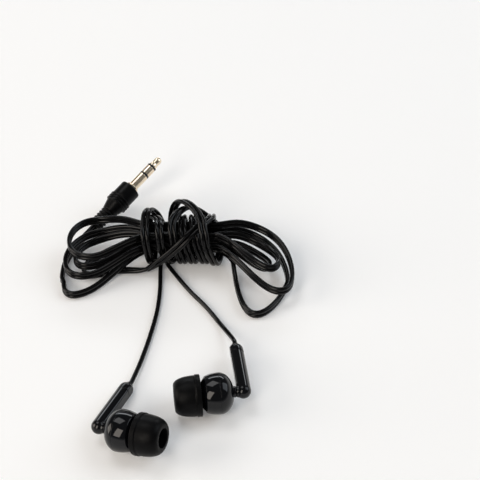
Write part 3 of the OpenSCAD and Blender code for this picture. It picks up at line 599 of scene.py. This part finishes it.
# The plating shows faint streaks along the pin, twenty times as long as they are wide.
streak_share = 0.05
along_pin = gold.node("ShaderNodeMapping", sockets={
    "Vector": gold.place(plug_place.to_3x3().inverted().to_euler()), "Scale": (streak_share, 1, 1)})
drawn = gold.grain(0.45 * mm, place=along_pin)
gold.surface(roughness=gold.between(drawn, 0.2, 0.27),
             base_color=gold.tint(gold.between(drawn, 0, 1), (0.78, 0.60, 0.42), (0.97, 0.88, 0.70)))
band = plain_finish("insulating_band", (0.008, 0.008, 0.009), 0.8, 0.22, 0.36)

boot_end, pin_r, flange_r, shank_r, pin_steps = 19.3, 1.75, 2.3, 2, 72
pin_start, pin_end = boot_end + 1, boot_end + 15.5
tip_at = pin_end - 4.1
ring_front, ring_back, sleeve_front = tip_at - 0.75, tip_at - 3.95, tip_at - 4.7
tip_core_r, tip_liner_r, ring_core_r, ring_liner_r = 0.45, 0.65, 0.95, 1.25
tip_core, tip_liner, ring_core, ring_liner, sleeve_shank = (
    boot_end - back for back in (5, 4.3, 3.6, 2.9, 2.2))


def stacked(start, bore_r, tube_r, back, front, edge):
    """A contact or a band: a short length of the pin on a tube that runs back into the boot."""
    return turned([(start, bore_r), (start, tube_r), (back, tube_r), (back, pin_r, edge),
                   (front, pin_r, edge), (front, bore_r)], steps=pin_steps)


plug_pieces = [
    assembled("plug_tip_contact", turned([
        (tip_core, 0), (tip_core, tip_core_r), (tip_at, tip_core_r), (tip_at, 1.55, 0.1),
        (tip_at + 0.5, 1.5, 0.2), (tip_at + 1.3, 1.28, 0.3), (tip_at + 1.8, 1.26, 0.3),
        (tip_at + 2.4, 1.36, 0.3), (tip_at + 3.2, 1.3, 0.4), (tip_at + 3.8, 1.05, 0.3),
        (pin_end, 0.8, 0.15), (pin_end, 0)], steps=pin_steps),
        plug_place, gold, "set", "gold", "plug_tip"),
    assembled("plug_tip_band", stacked(tip_liner, tip_core_r, tip_liner_r, ring_front, tip_at, 0.06),
              plug_place, band, "set", "insulator", "plug_tip_insulator"),
    assembled("plug_ring_contact", stacked(ring_core, tip_liner_r, ring_core_r, ring_back, ring_front, 0.1),
              plug_place, gold, "set", "gold", "plug_ring"),
    assembled("plug_ring_band", stacked(ring_liner, ring_core_r, ring_liner_r, sleeve_front, ring_back, 0.06),
              plug_place, band, "set", "insulator", "plug_ring_insulator"),
    assembled("plug_sleeve_contact", turned([
        (sleeve_shank, ring_liner_r), (sleeve_shank, shank_r), (boot_end, shank_r), (boot_end, flange_r),
        (pin_start, flange_r, 0.2), (pin_start, pin_r, 0.12), (sleeve_front, pin_r, 0.1),
        (sleeve_front, ring_liner_r)], steps=pin_steps),
        plug_place, gold, "set", "gold", "plug_sleeve"),
]


# Plug boot. Soft black PVC moulded over the plug's shank: a smooth grip, a collar of three
# ridges, a taper, and a strain relief of six ribs that lets the cord bend gently.
relief_l, rib_count, rib_r, rib_groove_r = 7.4, 6, 2.6, 2.15
taper_end, taper_r, collar_end, collar_r, ridge_r, ridge_l = 10.8, 3.6, 14.1, 3.7, 4.1, 0.75
grip_start, grip_end, grip_r, boot_bore_r, boot_floor = 14.4, 19, 3.8, 2.05, 11.6
pitch = relief_l / rib_count
ribs = []
for at in (pitch * i for i in range(rib_count)):
    ribs += [(at, rib_groove_r, 0.1), (at + 0.2 * pitch, rib_r, 0.2), (at + 0.6 * pitch, rib_r, 0.2),
             (at + 0.8 * pitch, rib_groove_r, 0.1)]
ridges, ridge_starts = [], (10.965, 12.065, 13.165)
for at in ridge_starts:
    ridges += [(at, collar_r, 0.05), (at + 0.1, ridge_r, 0.1), (at + ridge_l - 0.1, ridge_r, 0.1),
               (at + ridge_l, collar_r, 0.05)]
plug_pieces.append(assembled("plug_grip", turned([
    (0, 0), *ribs, (relief_l, rib_r, 0.2), (taper_end, taper_r, 0.15), (taper_end, collar_r, 0.05), *ridges,
    (collar_end, collar_r, 0.05), (grip_start, grip_r, 0.15), (grip_end, grip_r, 0.3), (boot_end, 3.5, 0.15),
    (boot_end, boot_bore_r), (boot_floor, boot_bore_r), (boot_floor, 0)]),
    plug_place, rubber, "set", "boot", "plug_boot"))

left.along_stem(stem_out) * mm
right.along_stem(stem_out) * mm


# Inner parts. The driver, its wiring and the plug's wiring are sealed in, so they stay as
# turned in CAD, in their own finishes.
steel = plain_finish("plated_steel", (0.45, 0.45, 0.47), 0.5, 0.25, 0.4, metallic=1.0)
film = plain_finish("diaphragm_film", (0.55, 0.45, 0.28), 0.8, 0.2, 0.35)
copper = plain_finish("enamelled_copper", (0.60, 0.25, 0.10), 0.3, 0.2, 0.35, metallic=1.0)
basket = plain_finish("driver_basket", (0.06, 0.06, 0.065), 0.6, 0.45, 0.6)
nickel = plain_finish("nickel_plate", (0.62, 0.60, 0.56), 0.7, 0.12, 0.22, metallic=1.0)
laminate = plain_finish("fibre_board", (0.03, 0.14, 0.06), 0.3, 0.38, 0.55)
screen, thread_scale = Finish("woven_screen", base_color=(0.3, 0.3, 0.31), metallic=1.0), 1400
warp, weft = (screen.node("ShaderNodeTexWave", {"bands_direction": way},
                          {"Vector": screen.place(), "Scale": thread_scale}) for way in "YZ")
screen.surface(roughness=screen.between(warp * weft, 0.3, 0.6),
               base_color=screen.tint(warp * weft, (0.05, 0.05, 0.05), (0.5, 0.5, 0.5)))


def refinished(node, finish):
    """A CAD node that keeps its shape and gets its finish."""
    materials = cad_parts[node].data.materials
    materials.clear()
    materials.append(finish.material)


inner = {"nozzle_screen": screen, "driver_grille": steel, "diaphragm": film, "voice_coil": copper,
         "driver_frame": basket, "yoke": steel, "magnet": nickel, "pole_plate": steel,
         "terminal_board": laminate, "cable_end": jacket, "driver_wires": copper}
for ear in earpieces:
    for part, finish in inner.items():
        refinished(f"{ear.name}_{part}", finish)
refinished("plug_cord_end", jacket)
refinished("plug_wires", copper)


# Table. The earphones lie on a matt white table that runs on to the horizon. It is the
# stage and no part of them, and a faint glow of its own makes it as white as in a bright room.
table = Finish("table_white", base_color=(0.9, 0.9, 0.9), roughness=0.8, specular_ior_level=0.1,
               emission_color=(1, 1, 1), emission_strength=0.1)
table_reach, table_top = 10, -0.0002
board = bmesh.new()
bmesh.ops.create_grid(board, x_segments=1, y_segments=1, size=table_reach)
sheet = bpy.data.meshes.new("table")
board.to_mesh(sheet)
board.free()
sheet.materials.append(table.material)
floor = bpy.data.objects.new("table", sheet)
floor.location = (0, 0, table_top)
scene.collection.objects.link(floor)


# Light. The room is bright at the horizon and dim above it, so that black pieces stay black.
# Five soft panes light it: a ceiling, a low one behind, warm windows to the left and in
# front, and a cool one to the right.
horizon_top, horizon_level, dome_level = 0.18, 0.9, 0.14
scene.world = bpy.data.worlds.new("room")
room = Shading(scene.world)
outlook = room.node("ShaderNodeTexCoord", output="Generated")
rise = room.node("ShaderNodeSeparateXYZ", sockets={"Vector": outlook}, output="Z")
fade = room.node("ShaderNodeMapRange", sockets={
    "Value": rise, "From Max": horizon_top, "To Min": horizon_level, "To Max": dome_level})
sky = room.tree.nodes["Background"]
room.set(sky.inputs["Color"], (1, 1, 1))
room.set(sky.inputs["Strength"], fade)


def window(name, way, away, width, height, radiance, colour=(1, 1, 1)):
    """A lit pane of a given brightness, facing the earphones from a direction."""
    light = bpy.data.lights.new(name, "AREA")
    light.shape, light.size, light.size_y = "RECTANGLE", width, height
    light.energy, light.color = radiance * math.pi * width * height, colour
    lamp = bpy.data.objects.new(name, light)
    middle, way = Vector((0.02, 0.04, 0.005)), Vector(way).normalized()
    lamp.location = middle + way * away
    lamp.rotation_euler = (-way).to_track_quat("-Z", "Y").to_euler()
    lamp.visible_camera = False
    scene.collection.objects.link(lamp)


warm, cool, pale = (1.0, 0.92, 0.83), (0.84, 0.92, 1.0), (0.92, 0.96, 1.0)
window("ceiling_light", (-0.3, 0.3, 0.9), 3.0, 1.4, 1.4, 2.8)
window("back_light", (0.05, 0.9, 0.42), 2.5, 2.4, 0.4, 5.0, pale)
window("left_window", (-0.97, -0.06, 0.34), 2.2, 1.2, 1.3, 4.8, warm)
window("front_window", (-0.47, -0.71, 0.6), 2.2, 0.8, 1.6, 5.6, warm)
window("right_window", (0.77, 0.18, 0.62), 2.2, 1.4, 1.8, 2.2, cool)
